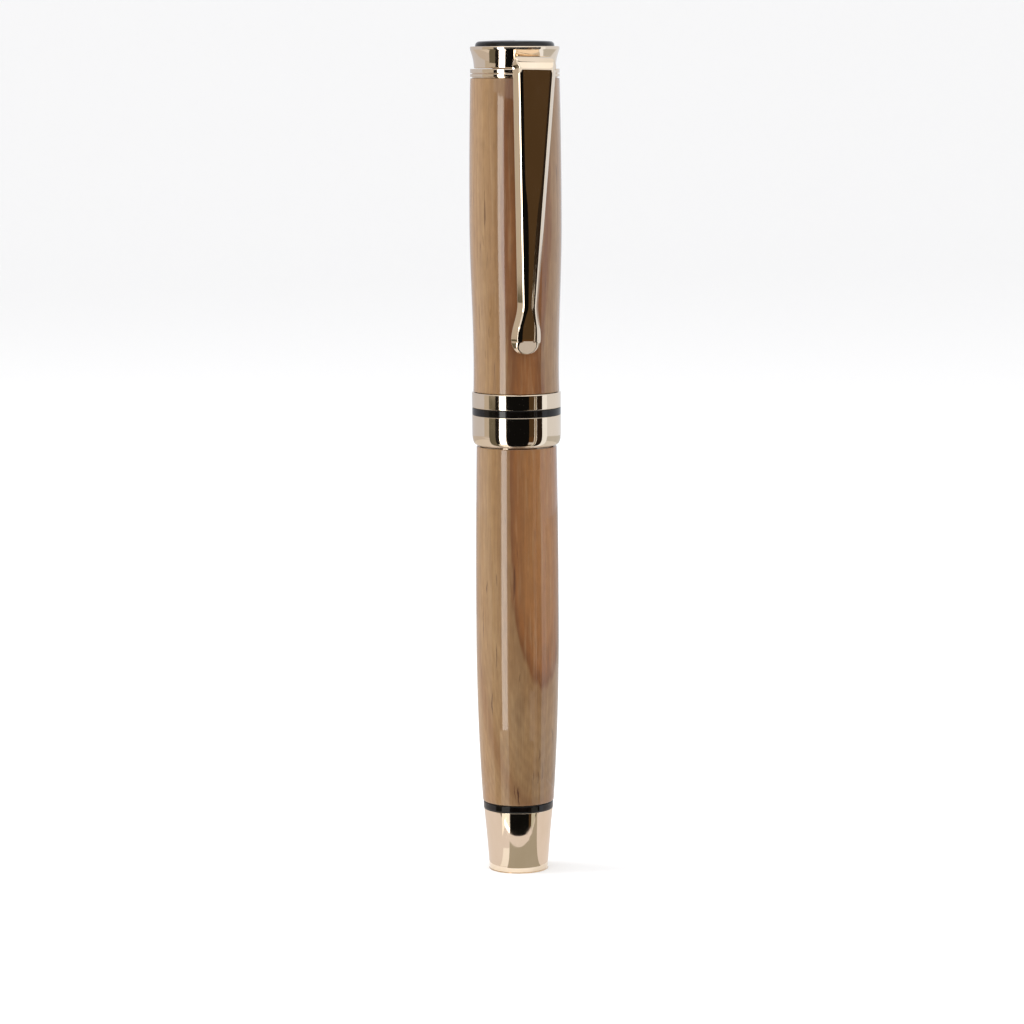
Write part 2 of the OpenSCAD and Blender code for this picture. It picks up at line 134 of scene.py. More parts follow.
def finished_outline(points, closed, round_r):
    """The outline with its sharp corners rounded by round_r and its curved stretches made smooth."""
    points = without_doubles(points)
    if closed and (points[0] - points[-1]).length < SAME_POINT:
        points.pop()
    n = len(points)

    def at(i):
        return points[i % n] if closed else points[max(0, min(n - 1, i))]

    sharp = [
        turn_angle(at(i - 1), at(i), at(i + 1)) > SHARP_TURN if closed or 0 < i < n - 1 else True
        for i in range(n)
    ]
    made = []
    for i in range(n):
        here, before, after = at(i), at(i - 1), at(i + 1)
        inner = closed or 0 < i < n - 1
        if sharp[i] and inner:
            shorter = min((here - before).length, (after - here).length)
            back = min(round_r, ROUND_SHARE * shorter)
            to_a = (before - here).normalized() * back
            to_b = (after - here).normalized() * back
            made.append(here + to_a * SUPPORT)
            made += [
                here + (1 - t) ** 2 * to_a + t * t * to_b
                for t in (k / ROUND_STEPS for k in range(ROUND_STEPS + 1))
            ]
            made.append(here + to_b * SUPPORT)
        else:
            made.append(here)
        last = i == n - 1 and not closed
        if last:
            continue
        curved = not (sharp[i] and sharp[(i + 1) % n])
        if curved:
            p0 = here + (here - after) if sharp[i] else before
            p3 = after + (after - here) if sharp[(i + 1) % n] else at(i + 2)
            low = CLEAR if sharp[i] else 0.0
            high = 1.0 - CLEAR if sharp[(i + 1) % n] else 1.0
            made += [
                smooth_point(p0, here, after, p3, low + (high - low) * t)
                for t in (1 / 3, 2 / 3)
            ]
    return without_doubles(made)


def new_piece(name, mesh_data, material, body, slot):
    piece = bpy.data.objects.new(name, mesh_data)
    bpy.context.scene.collection.objects.link(piece)
    piece.data.materials.clear()
    piece.data.materials.append(material)
    if body:
        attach(piece, body)
    return piece


def lathe_mesh(name, outline, closed, around):
    """Spins an (r, z) outline about the pen's axis into a closed mesh with its faces outwards."""
    area = sum(a.x * b.y - b.x * a.y for a, b in zip(outline, outline[1:] + outline[:1]))
    if area < 0:
        outline = outline[::-1]
    bm = bmesh.new()
    rings = []
    for p in outline:
        if p.x < 1e-7:
            rings.append([bm.verts.new((0, 0, p.y))] * around)
        else:
            rings.append([
                bm.verts.new((p.x * math.cos(a), p.x * math.sin(a), p.y))
                for a in (2 * math.pi * k / around for k in range(around))
            ])
    pairs = list(zip(rings, rings[1:] + rings[:1])) if closed else list(zip(rings, rings[1:]))
    for low, high in pairs:
        for k in range(around):
            corners = [low[k], low[(k + 1) % around], high[(k + 1) % around], high[k]]
            distinct = [v for i, v in enumerate(corners) if v not in corners[:i]]
            if len(distinct) > 2:
                bm.faces.new(distinct)
    for face in bm.faces:
        face.smooth = True
    data = bpy.data.meshes.new(name)
    bm.to_mesh(data)
    bm.free()
    return data


def turned_piece(node_name, material, round_r, around):
    """A smooth turned piece that stands for a turned CAD node."""
    points, closed = turned_outline(NODES[node_name])
    widest = max(p.x for p in points)
    low, high = min(p.y for p in points), max(p.y for p in points)
    outline = [
        Vector((min(p.x, widest), max(low, min(high, p.y))))
        for p in finished_outline(points, closed, round_r)
    ]
    data = lathe_mesh(node_name + "_turned", outline, closed, around)
    piece = new_piece(node_name + "_turned", data, material, BODY_OF[node_name], SLOT_OF[node_name])
    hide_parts(node_name)


# ---- Materials ----

class Paint:
    """A node material: add() makes a node, and values that are the same all over go on the shader itself."""

    def __init__(self, name, **shader):
        self.material = bpy.data.materials.new(name)
        self.material.use_nodes = True
        self.tree = self.material.node_tree
        self.tree.nodes.clear()
        self.shader = self.tree.nodes.new("ShaderNodeBsdfPrincipled")
        out = self.tree.nodes.new("ShaderNodeOutputMaterial")
        self.tree.links.new(self.shader.outputs["BSDF"], out.inputs["Surface"])
        for socket, value in shader.items():
            self.shader.inputs[socket.replace("_", " ")].default_value = value

    def add(self, kind, inputs=None, **settings):
        node = self.tree.nodes.new("ShaderNode" + kind)
        for key, value in settings.items():
            setattr(node, key, value)
        for key, value in (inputs or {}).items():
            self.give(node, key, value)
        return node

    def give(self, node, key, value):
        socket = node.inputs[key]
        if isinstance(value, bpy.types.NodeSocket):
            self.tree.links.new(value, socket)
        else:
            socket.default_value = value

    def to_shader(self, key, value):
        self.give(self.shader, key, value)

    def position(self, scale):
        """The point in millimetres, stretched by scale along x, y and z."""
        where = self.add("TexCoord").outputs["Object"]
        factor = tuple(s / MM for s in scale)
        return self.add("VectorMath", {0: where, 1: factor}, operation="MULTIPLY").outputs[0]

    def noise(self, scale, detail=3.0, roughness=0.5, warp=0.0):
        node = self.add(
            "TexNoise",
            {"Vector": self.position(scale), "Scale": 1.0, "Detail": detail, "Roughness": roughness,
             "Distortion": warp},
        )
        return node.outputs["Fac"]

    def math(self, operation, *values):
        return self.add("Math", dict(enumerate(values)), operation=operation).outputs[0]

    def spread(self, value, low, high, to_low, to_high):
        return self.add(
            "MapRange",
            {"Value": value, "From Min": low, "From Max": high, "To Min": to_low, "To Max": to_high},
            clamp=True,
        ).outputs["Result"]

    def ramp(self, value, stops):
        node = self.add("ValToRGB", {"Fac": value})
        elements = node.color_ramp.elements
        while len(elements) < len(stops):
            elements.new(0.5)
        for element, (place, colour) in zip(elements, stops):
            element.position = place
            element.color = (*colour, 1)
        return node.outputs["Color"]

    def mix(self, share, a, b, blend="MIX"):
        node = self.add("Mix", {"Factor": share}, data_type="RGBA", blend_type=blend)
        for socket, value in ((node.inputs[6], a), (node.inputs[7], b)):
            if isinstance(value, bpy.types.NodeSocket):
                self.tree.links.new(value, socket)
            else:
                socket.default_value = (*value, 1)
        return node.outputs[2]

    def dot(self, vector, direction):
        return self.add("VectorMath", {0: vector, 1: direction}, operation="DOT_PRODUCT").outputs["Value"]

    def fleck(self, point, height, wavy, azimuth, z, half_length, half_width, strength):
        """A mask for one long thin mark on the side of the pen that azimuth names.

        wavy is how far it wavers sideways.
        """
        a = CAMERA_AZIMUTH + math.radians(azimuth)
        across = self.math("ADD", self.dot(point, (math.cos(a), math.sin(a), 0)), wavy)
        across = self.math("MULTIPLY", across, 1 / half_width)
        along = self.math("MULTIPLY", self.math("SUBTRACT", height, z), 1 / half_length)
        gone = self.math("ADD", self.math("MULTIPLY", across, across), self.math("MULTIPLY", along, along))
        mask = self.spread(gone, 0.1, 1.0, strength, 0.0)
        outward = self.dot(point, (math.sin(a), -math.cos(a), 0))
        return self.math("MULTIPLY", mask, self.math("GREATER_THAN", outward, 0.0))

    def bump(self, height, distance, into="Normal"):
        node = self.add("Bump", {"Height": height, "Distance": distance})
        self.to_shader(into, node.outputs["Normal"])


def gold_paint():
    """Polished champagne-gold plating with faint smudges and hairline wear."""
    paint = Paint("champagne_gold", Metallic=1.0, IOR=1.5)
    cloud = paint.noise((0.35, 0.35, 0.22), detail=4)
    tint = paint.ramp(cloud, [(0.3, (0.83, 0.69, 0.53)), (0.7, (0.87, 0.725, 0.57))])
    paint.to_shader("Base Color", tint)
    hair = paint.noise((7.0, 7.0, 0.5), detail=2)
    smudges = paint.spread(cloud, 0.35, 0.75, 0.035, 0.075)
    wear = paint.spread(hair, 0.62, 0.75, 0, 0.05)
    paint.to_shader("Roughness", paint.math("ADD", smudges, wear))
    paint.bump(hair, 0.0006 * MM)
    return paint.material


def black_gloss_paint():
    """Glossy black resin with a soft haze."""
    paint = Paint("black_gloss", IOR=1.42)
    cloud = paint.noise((0.8, 0.8, 0.8), detail=3)
    shades = [(0.3, (0.002, 0.0015, 0.001)), (0.7, (0.005, 0.0035, 0.003))]
    paint.to_shader("Base Color", paint.ramp(cloud, shades))
    paint.to_shader("Roughness", paint.spread(cloud, 0.3, 0.7, 0.04, 0.09))
    paint.bump(paint.noise((5, 5, 5)), 0.0006 * MM)
    return paint.material


def wood_paint(name, heart_azimuth, heart_depth, figure, flecks):
    """Figured wood under a clear gloss coat.

    The blank is cut across flat growth rings. heart_azimuth is the way the red heartwood faces, and
    heart_depth how far from the pen's axis it starts, in millimetres. figure is (height, rate): below that
    height the rings curve away from the surface, by the rate times the square of the distance below it, which
    ends the heartwood in a tongue. flecks are the dark marks in the surface.
    """
    paint = Paint(
        name, IOR=1.45, Specular_IOR_Level=0.25, Coat_Weight=1.0, Coat_Roughness=0.02, Coat_IOR=1.52,
    )
    point = paint.position((1, 1, 1))
    height = paint.add("SeparateXYZ", {0: point}).outputs["Z"]
    facing = (math.sin(heart_azimuth), -math.cos(heart_azimuth), 0)
    ring = paint.dot(point, facing)
    tongue_z, rate = figure
    below = paint.math("MAXIMUM", paint.math("SUBTRACT", tongue_z, height), 0.0)
    away = paint.math("MULTIPLY", paint.math("MULTIPLY", below, below), rate)
    ring = paint.math("SUBTRACT", ring, away)
    wide = paint.noise((0.11, 0.11, 0.022), detail=2)
    near = paint.noise((0.9, 0.9, 0.07), detail=4, roughness=0.6)
    ring = paint.math("ADD", ring, paint.spread(wide, 0.2, 0.8, -0.3, 0.3))
    ring = paint.math("ADD", ring, paint.spread(near, 0.2, 0.8, -0.35, 0.35))
    ring = paint.math("SUBTRACT", ring, heart_depth)
    colour = paint.ramp(paint.spread(ring, -14, 2, 0, 1), [
        (0.00, (0.29, 0.165, 0.072)),
        (0.22, (0.32, 0.195, 0.090)),
        (0.36, (0.24, 0.125, 0.052)),
        (0.45, (0.30, 0.180, 0.080)),
        (0.66, (0.31, 0.190, 0.088)),
        (0.78, (0.285, 0.165, 0.072)),
        (0.858, (0.255, 0.140, 0.058)),
        (0.878, (0.175, 0.060, 0.014)),
        (0.91, (0.250, 0.094, 0.025)),
        (1.00, (0.320, 0.142, 0.045)),
    ])
    band = paint.noise((0.55, 0.55, 0.018), detail=2)
    colour = paint.mix(paint.spread(band, 0.35, 0.65, 0.0, 0.5), colour, (1.0, 0.90, 0.72), "MULTIPLY")
    late = paint.math("SINE", paint.math("MULTIPLY", ring, 7.0))
    colour = paint.mix(paint.spread(late, -1, 1, 0.0, 0.16), colour, (0.17, 0.080, 0.030))
    fibre = paint.noise((3.6, 3.6, 0.16), detail=5, roughness=0.65)
    colour = paint.mix(paint.spread(fibre, 0.35, 0.72, 0.0, 0.38), colour, (0.15, 0.066, 0.024))
    pale = paint.noise((1.6, 1.6, 0.09), detail=3)
    colour = paint.mix(paint.spread(pale, 0.52, 0.75, 0.0, 0.26), colour, (0.42, 0.285, 0.150))
    mottle = paint.noise((0.9, 0.9, 0.42), detail=4, roughness=0.6)
    colour = paint.mix(paint.spread(mottle, 0.3, 0.7, 0.0, 0.22), colour, (0.45, 0.40, 0.36), "MULTIPLY")
    streak = paint.noise((2.3, 2.3, 0.16), detail=1.5, warp=0.3)
    patch = paint.noise((0.16, 0.16, 0.035), detail=1)
    dark = paint.math("MULTIPLY", paint.spread(streak, 0.66, 0.73, 0, 1), paint.spread(patch, 0.5, 0.6, 0, 1))
    dark = paint.math("MULTIPLY", dark, 0.6)
    wavy = paint.spread(paint.noise((0.7, 0.7, 0.35), detail=3), 0.2, 0.8, -0.3, 0.3)
    for azimuth, z, half_length, half_width, strength in flecks:
        mark = paint.fleck(point, height, wavy, azimuth, z, half_length, half_width, strength)
        dark = paint.math("MAXIMUM", dark, mark)
    colour = paint.mix(dark, colour, (0.060, 0.020, 0.008))
    paint.to_shader("Base Color", colour)
    paint.to_shader("Roughness", paint.spread(fibre, 0.3, 0.7, 0.38, 0.55))
    paint.bump(fibre, 0.004 * MM)
    paint.bump(paint.noise((0.5, 0.5, 0.3), detail=2), 0.0016 * MM, into="Coat Normal")
    return paint.material


def brass_paint():
    """Drawn brass, slightly tarnished."""
    paint = Paint("drawn_brass", Metallic=1.0)
    cloud = paint.noise((0.5, 0.5, 0.12), detail=4)
    paint.to_shader("Base Color", paint.ramp(cloud, [(0.3, (0.60, 0.43, 0.19)), (0.7, (0.74, 0.57, 0.28))]))
    paint.to_shader("Roughness", paint.spread(cloud, 0.3, 0.7, 0.2, 0.36))
    paint.bump(paint.noise((9, 9, 0.4)), 0.002 * MM)
    return paint.material


def steel_paint(name, dark=1.0, low=0.1, high=0.24):
    """Bright steel with fine marks along its length."""
    paint = Paint(name, Metallic=1.0)
    cloud = paint.noise((0.6, 0.6, 0.2), detail=3)
    shades = [(0.3, (0.50 * dark, 0.50 * dark, 0.52 * dark)), (0.7, (0.64 * dark, 0.64 * dark, 0.66 * dark))]
    paint.to_shader("Base Color", paint.ramp(cloud, shades))
    paint.to_shader("Roughness", paint.spread(cloud, 0.3, 0.7, low, high))
    paint.bump(paint.noise((8, 8, 1.2)), 0.0015 * MM)
    return paint.material


def black_plastic_paint():
    """Moulded black plastic with a fine satin grain."""
    paint = Paint("black_plastic", IOR=1.49)
    grain = paint.noise((12, 12, 12), detail=3)
    shades = [(0.3, (0.018, 0.018, 0.02)), (0.7, (0.035, 0.035, 0.038))]
    paint.to_shader("Base Color", paint.ramp(grain, shades))
    paint.to_shader("Roughness", paint.spread(grain, 0.3, 0.7, 0.34, 0.5))
    paint.bump(grain, 0.003 * MM)
    return paint.material


def ink_paint():
    """Fibre soaked with blue-black ink."""
    paint = Paint("ink_fibre", IOR=1.4)
    fibre = paint.noise((14, 14, 0.7), detail=4)
    shades = [(0.3, (0.008, 0.012, 0.06)), (0.7, (0.025, 0.035, 0.14))]
    paint.to_shader("Base Color", paint.ramp(fibre, shades))
    paint.to_shader("Roughness", paint.spread(fibre, 0.3, 0.7, 0.45, 0.7))
    paint.bump(fibre, 0.01 * MM)
    return paint.material


PAINTS = {
    "gold": gold_paint(),
    "black_gloss": black_gloss_paint(),
    "brass": brass_paint(),
    "steel": steel_paint("bright_steel"),
    "ball": steel_paint("carbide", dark=0.75, low=0.05, high=0.1),
    "black_plastic": black_plastic_paint(),
    "ink_fibre": ink_paint(),
}
# Dark marks in the wood: azimuth from the camera in degrees, then height, half length and half width in
# millimetres, and strength
CAP_FLECKS = [(-50, 106, 1.2, 0.10, 0.5), (-38, 92, 1.5, 0.12, 0.45), (62, 118, 2.0, 0.12, 0.5)]
BARREL_FLECKS = [
    (0, 13.4, 2.0, 0.17, 0.95), (-5, 14.2, 1.5, 0.13, 0.6),
    (24, 17.0, 1.0, 0.12, 0.65), (32, 20.5, 1.6, 0.13, 0.6),
    (40, 17.2, 2.4, 0.14, 0.6), (61, 23.4, 1.9, 0.15, 0.6),
    (-47, 49.0, 1.3, 0.12, 0.75), (-56, 43.0, 3.8, 0.12, 0.7), (-31, 37.5, 2.6, 0.12, 0.7),
    (-40, 29.3, 2.2, 0.16, 0.85), (3, 33.9, 0.9, 0.12, 0.5), (-62, 34.5, 2.4, 0.10, 0.5),
    (170, 40.0, 3.0, 0.15, 0.7), (130, 22.0, 2.0, 0.15, 0.7), (-120, 55.0, 3.5, 0.14, 0.6),
    (45, 13.0, 14.0, 5.0, 0.19), (3, 28.0, 4.0, 1.0, 0.16),
]
CAP_HEART = CAMERA_AZIMUTH + math.radians(15)
BARREL_HEART = CAMERA_AZIMUTH + math.radians(40)
WOODS = {
    "cap_wood": wood_paint("cap_wood", CAP_HEART, 6.65, (80, 0.0), CAP_FLECKS),
    "barrel_wood": wood_paint("barrel_wood", BARREL_HEART, 4.4, (55, 0.005), BARREL_FLECKS),
}


def paint_for(node_name):
    return WOODS.get(node_name) or PAINTS[SLOT_OF[node_name]]


# ---- The pieces ----

# Rounding of each turned piece's edges in millimetres, and of those that aren't listed
EDGE = {
    "band_lower": 0.07, "band_upper": 0.09, "band_black": 0.08, "finial": 0.3, "finial_disc": 0.05,
    "cap_bush": 0.07, "end_cap": 0.06, "tail_ring": 0.06,
}
OTHER_EDGE = 0.04
# Pieces that show from outside, some of them only with the cap off
OUTER = {
    "end_cap", "tail_ring", "barrel_wood", "cap_wood", "band_lower", "band_black", "band_upper", "cap_bush",
    "finial", "finial_disc", "section_grip", "section_nose", "section_core", "section_ring",
}
NOT_TURNED = {"refill_spring", "refill_ball", "clip_ring", "clip_arm"}

for node_name in sorted(NODES):
    if node_name in NOT_TURNED:
        continue
    turned_piece(
        node_name,
        paint_for(node_name),
        EDGE.get(node_name, OTHER_EDGE) * MM,
        AROUND if node_name in OUTER else AROUND_INSIDE,
    )

for node_name in ("refill_spring", "refill_ball"):
    node = NODES[node_name]
    node.data.materials.clear()
    node.data.materials.append(paint_for(node_name))


# ---- The clip ----

# Sizes from here to the end of the clip are in millimetres. LEAN is how far the arm leans to one side
LEAN = math.radians(1.3)
CLIP_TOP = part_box("clip_arm")[1].z / MM
CLIP_FRONT = -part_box("clip_arm")[0].y / MM
CLIP_LENGTH = (CLIP_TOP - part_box("clip_arm")[0].z / MM) / math.cos(LEAN)
TOE_Z = CLIP_TOP - CLIP_LENGTH
CREASE_Z, PAD_Z, NECK_Z = TOE_Z + 2.4, TOE_Z + 2.7, TOE_Z + 8.2
# Half widths of the clip, and how far its arm stands to one side of its pad's middle
BEND_HALF, NECK_HALF, PAD_HALF = 3.85, 1.82, 2.6
ASIDE = 0.16
TOE_POWER = 2.2
# Distance of the clip's face from the pen's axis at the crease, and how steeply the toe falls back from there
PAD_FRONT, TOE_SLOPE = 8.8, math.tan(math.radians(17.4))
# Thickness of the clip at its toe, at the crease and at the bend
TOE_THICK, CREASE_THICK, BEND_THICK = 0.3, 1.23, 1.3
# Rounding of the bend, of its upper corners in front, and behind
BEND_R, CORNER_R, REAR_R = 2.25, 0.8, 0.5
# Distance of the leg's two faces from the axis
LEG_BACK, LEG_FRONT = 7.42, 8.6
LEG_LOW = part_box("clip_ring")[0].z / MM
# Rounding and height of the bend's inner side
INNER_R = 0.15
INNER_Z = CLIP_TOP - 2.3
# The clip's edge, from its face outwards: radius, the angle it turns to, and the length of the flat after it
EDGE_STEPS = [
    (2.0, math.radians(17), 0.0),
    (0.22, math.radians(36), 0.16),
    (0.18, math.radians(53.5), 1.06),
]
RIM_R = 0.07
# Distance from a flat's ends to the points that keep it flat
HOLD = 0.03
# Crown of the blade above its neck, at the bend and at the pad
NECK_CROWN, BEND_CROWN, PAD_CROWN = 8.0, 1.0, 1.5
# Half width of the face below the neck, where the clip flares out to its pad
FACE_HALF = 0.95


def ease(t):
    t = max(0.0, min(1.0, t))
    return t * t * (3 - 2 * t)


def mix(a, b, t):
    return a + (b - a) * t


def clip_half_width(z):
    if z > NECK_Z:
        half = mix(NECK_HALF, BEND_HALF, (z - NECK_Z) / (CLIP_TOP - NECK_Z))
        up = max(0.0, z - (CLIP_TOP - CORNER_R))
        return half - CORNER_R + math.sqrt(max(0.0, CORNER_R * CORNER_R - up * up))
    if z > PAD_Z:
        return mix(NECK_HALF, PAD_HALF, ease((NECK_Z - z) / (NECK_Z - PAD_Z)))
    return PAD_HALF * max(0.0, 1 - ((PAD_Z - z) / (PAD_Z - TOE_Z)) ** TOE_POWER) ** (1 / TOE_POWER)


def clip_face(z):
    """Distance of the clip's face from the axis, with the crease above its toe softened."""
    rise = (CLIP_FRONT - PAD_FRONT) / (CLIP_TOP - BEND_R - CREASE_Z)
    face = PAD_FRONT + rise * (z - CREASE_Z)
    below, soft = CREASE_Z - z, 0.1
    fall = (below + math.sqrt(below * below + soft * soft)) / 2
    return face - fall * TOE_SLOPE


def clip_thickness(z):
    if z > CREASE_Z:
        return mix(CREASE_THICK, BEND_THICK, (z - CREASE_Z) / (CLIP_TOP - BEND_R - CREASE_Z))
    return mix(TOE_THICK, CREASE_THICK, (z - TOE_Z) / (CREASE_Z - TOE_Z))


def clip_crown(z):
    """How far the face's edges turn away from its middle, which is most just above the neck."""
    above = mix(NECK_CROWN, BEND_CROWN, ease((z - NECK_Z - 6) / 24))
    return math.radians(mix(above, PAD_CROWN, ease((NECK_Z - z) / 2.5)))


def edge_section(half, crown, size, face_half=None):
    """The right half of the blade's section, middle to rim, as (distance from the middle, depth)."""
    turns = []
    start = crown
    for radius, end, length in EDGE_STEPS:
        turns.append((radius, start, end, length))
        start = end
    wide = sum(radius * (math.sin(b) - math.sin(a)) + length * math.cos(b) for radius, a, b, length in turns)
    wide += RIM_R * (1 - math.sin(start))
    size = min(size, (half - 0.06) / wide)
    flat = half - wide * size
    points = [(flat * t, flat * math.tan(crown) / 2 * t * t) for t in (0, 0.4, 0.75, 0.93, 1)]
    for radius, a, b, length in turns:
        x, d = points[-1]
        for k in range(1, 5):
            n = a + (b - a) * k / 4
            points.append((
                x + size * radius * (math.sin(n) - math.sin(a)),
                d + size * radius * (math.cos(a) - math.cos(n)),
            ))
        x, d = points[-1]
        for along in (HOLD, length - HOLD, length) if length else ():
            points.append((x + size * along * math.cos(b), d + size * along * math.sin(b)))
    x, d = points[-1]
    for k in range(1, 3):
        n = start + (math.pi / 2 - start) * k / 2
        points.append((
            x + size * RIM_R * (math.sin(n) - math.sin(start)),
            d + size * RIM_R * (math.cos(start) - math.cos(n)),
        ))
    if face_half and flat > face_half:
        stretch = (half - face_half) / (half - flat)
        points = [
            (x * face_half / flat if x <= flat else face_half + (x - flat) * stretch, d)
            for x, d in points
        ]
    return points


EDGE_DEPTH = edge_section(3, 0, 1)[-1][1]


def clip_row(rim, middle, lay, thick, crown, size=1.0, face_half=None):
    """One closed section of the clip between its middle and its rim, which are (x, along).

    lay(x, along, depth) gives the place of a point.
    """
    half = math.hypot(rim[0] - middle[0], rim[1] - middle[1])
    size = min(size, (thick - 0.08) / EDGE_DEPTH)
    right = edge_section(half, crown, size, face_half)

    def place(x, depth, side):
        share = x / half if half > 1e-9 else 0.0
        return lay(side * share * rim[0], mix(middle[1], rim[1], share), depth)

    front = [place(x, d, -1) for x, d in reversed(right[1:])] + [place(x, d, 1) for x, d in right]
    soft = min(0.05, half / 3)
    back = [(half, thick - soft), (half - soft, thick), (half * 0.5, thick), (0, thick)]
    back_right = [place(x, d, 1) for x, d in back]
    back_left = [place(x, d, -1) for x, d in reversed(back[:-1])]
    return front + back_right + back_left


def clip_rows():
    rows = []

    def arm(x, z, depth):
        return Vector((x, -clip_face(z) + depth, z))

    toe_steps = 14
    fan_z = CREASE_Z - 0.25
    start = math.asin(((PAD_Z - fan_z) / (PAD_Z - TOE_Z)) ** (TOE_POWER / 2))
    for k in range(toe_steps + 1):
        a = mix(math.pi / 2, start, k / toe_steps)
        rim = (
            PAD_HALF * max(0.0, math.cos(a)) ** (2 / TOE_POWER),
            PAD_Z - (PAD_Z - TOE_Z) * math.sin(a) ** (2 / TOE_POWER),
        )
        size = mix(0.3, 1.0, (k / toe_steps) ** 3)
        rows.append(clip_row(rim, (0, fan_z), arm, clip_thickness(rim[1]), 0.0, size=size))
    heights = [CREASE_Z + d for d in (-0.15, -0.08, 0, 0.08, 0.15)]
    heights += [mix(CREASE_Z + 0.3, NECK_Z + 1.5, k / 16) for k in range(17)]
    straight_top = CLIP_TOP - BEND_R
    heights += [mix(NECK_Z + 2.2, straight_top - 0.05, k / 56) for k in range(57)]
    for z in heights:
        face_half = None
        if z < NECK_Z:
            face_half = FACE_HALF
        rows.append(clip_row(
            (clip_half_width(z), z), (0, z), arm, clip_thickness(z), clip_crown(z), face_half=face_half,
        ))

    def over(y, z, out_y, out_z, inner):
        """A section square to the outer line at (y, z), where (out_y, out_z) faces outwards."""
        half = clip_half_width(z) if out_y < 0 else BEND_HALF - CORNER_R
        thick = math.hypot(inner[0] - y, inner[1] - z)

        def lay(x, _, depth):
            share = depth / thick
            straight = Vector((x, y - out_y * depth, z - out_z * depth))
            return straight.lerp(Vector((x, *inner)), ease(share))

        size = mix(1.0, 0.4, ease(out_z + max(0, out_y)))
        return clip_row((half, 0), (0, 0), lay, thick, math.radians(BEND_CROWN), size=size)

    steps = 14
    inner_y = -(CLIP_FRONT - BEND_THICK) + INNER_R
    for k in range(steps + 1):
        a = math.pi / 2 * k / steps
        y = -(CLIP_FRONT - BEND_R) - BEND_R * math.cos(a)
        z = CLIP_TOP - BEND_R + BEND_R * math.sin(a)
        inner = (inner_y - INNER_R * math.cos(a), INNER_Z + INNER_R * math.sin(a))
        rows.append(over(y, z, -math.cos(a), math.sin(a), inner))
    for k in range(6):
        a = math.pi / 2 * k / 5
        y = -(LEG_BACK + REAR_R) + REAR_R * math.sin(a)
        z = CLIP_TOP - REAR_R + REAR_R * math.cos(a)
        inner = (inner_y + (inner_y + LEG_FRONT) * -math.sin(a), INNER_Z + INNER_R * math.cos(a))
        rows.append(over(y, z, math.sin(a), math.cos(a), inner))
    for z in (CLIP_TOP - 1.2, LEG_LOW + 0.3, LEG_LOW):
        rows.append(over(-LEG_BACK, z, 1.0, 0.0, (-LEG_FRONT, min(z, INNER_Z))))
    return rows


def clip_piece():
    """The clip as one bent blade: leg, bend, tapering arm, pad and toe."""
    bm = bmesh.new()
    rows = []
    for row in clip_rows():
        leaned = []
        for p in row:
            up = p.z - CLIP_TOP
            across = p.x + ASIDE * ease((p.z - PAD_Z) / (NECK_Z - PAD_Z))
            leaned.append(Vector((
                across * math.cos(LEAN) + up * math.sin(LEAN),
                p.y,
                CLIP_TOP - p.x * math.sin(LEAN) + up * math.cos(LEAN),
            )) * MM)
        rows.append([bm.verts.new(p) for p in leaned])
    count = len(rows[0])
    for low, high in zip(rows, rows[1:]):
        for k in range(count):
            bm.faces.new((low[k], low[(k + 1) % count], high[(k + 1) % count], high[k]))
    bm.faces.new(rows[-1])
    bmesh.ops.remove_doubles(bm, verts=bm.verts, dist=0.002 * MM)
    bmesh.ops.dissolve_degenerate(bm, edges=bm.edges, dist=0.001 * MM)
    bmesh.ops.recalc_face_normals(bm, faces=bm.faces)
    for face in bm.faces:
        face.smooth = True
    data = bpy.data.meshes.new("clip_blade")
    bm.to_mesh(data)
    bm.free()
    piece = new_piece("clip_blade", data, PAINTS["gold"], None, "gold")
    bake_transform(piece)
    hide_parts("clip_arm", "clip_ring")


def clip_collar():
    """The flat collar at the foot of the clip's leg, between the bush and the finial."""
    low, high, edge, hole = LEG_LOW, LEG_LOW + 0.7, 7.45, 4.2
    outline = [Vector(p) * MM for p in ((hole, low), (edge, low), (edge, high), (hole, high))]
    data = lathe_mesh("clip_collar", finished_outline(outline, True, 0.09 * MM), True, AROUND)
    piece = new_piece("clip_collar", data, PAINTS["gold"], "cap", "gold")
    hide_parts("clip_ring")


clip_piece()
clip_collar()


# ---- Stage: floor, cards, lights and camera ----

def plain(name, colour):
    material = bpy.data.materials.new(name)
    material.use_nodes = True
    shader = material.node_tree.nodes["Principled BSDF"]
    shader.inputs["Base Color"].default_value = (*colour, 1)
    shader.inputs["Roughness"].default_value = 1.0
    shader.inputs["Specular IOR Level"].default_value = 0.0
    return material


def glowing(name, colour, strength):
    material = plain(name, (0, 0, 0))
    shader = material.node_tree.nodes["Principled BSDF"]
    shader.inputs["Emission Color"].default_value = (*colour, 1)
    shader.inputs["Emission Strength"].default_value = strength
    return material


def staged(name, verts, faces, material):
    data = bpy.data.meshes.new(name)
    data.from_pydata(verts, [], faces)
    for polygon in data.polygons:
        polygon.use_smooth = True
    data.materials.append(material)
    obj = bpy.data.objects.new(name, data)
    bpy.context.scene.collection.objects.link(obj)
    return obj


def sweep():
    """A pale floor that curves up into a backdrop behind the pen."""
    half, front, back, bend, top = 3.0, -2.5, 1.6, 0.8, 3.2
    line = [(front, 0.0), (back, 0.0)]
    for k in range(1, 11):
        a = math.radians(9 * k)
        line.append((back + bend * math.sin(a), bend - bend * math.cos(a)))
    line.append((back + bend, top))
    verts = [(x, y, z) for y, z in line for x in (-half, half)]
    faces = [(2 * i, 2 * i + 1, 2 * i + 3, 2 * i + 2) for i in range(len(line) - 1)]
    staged("floor", verts, faces, plain("pale_floor", (0.97, 0.97, 0.975)))


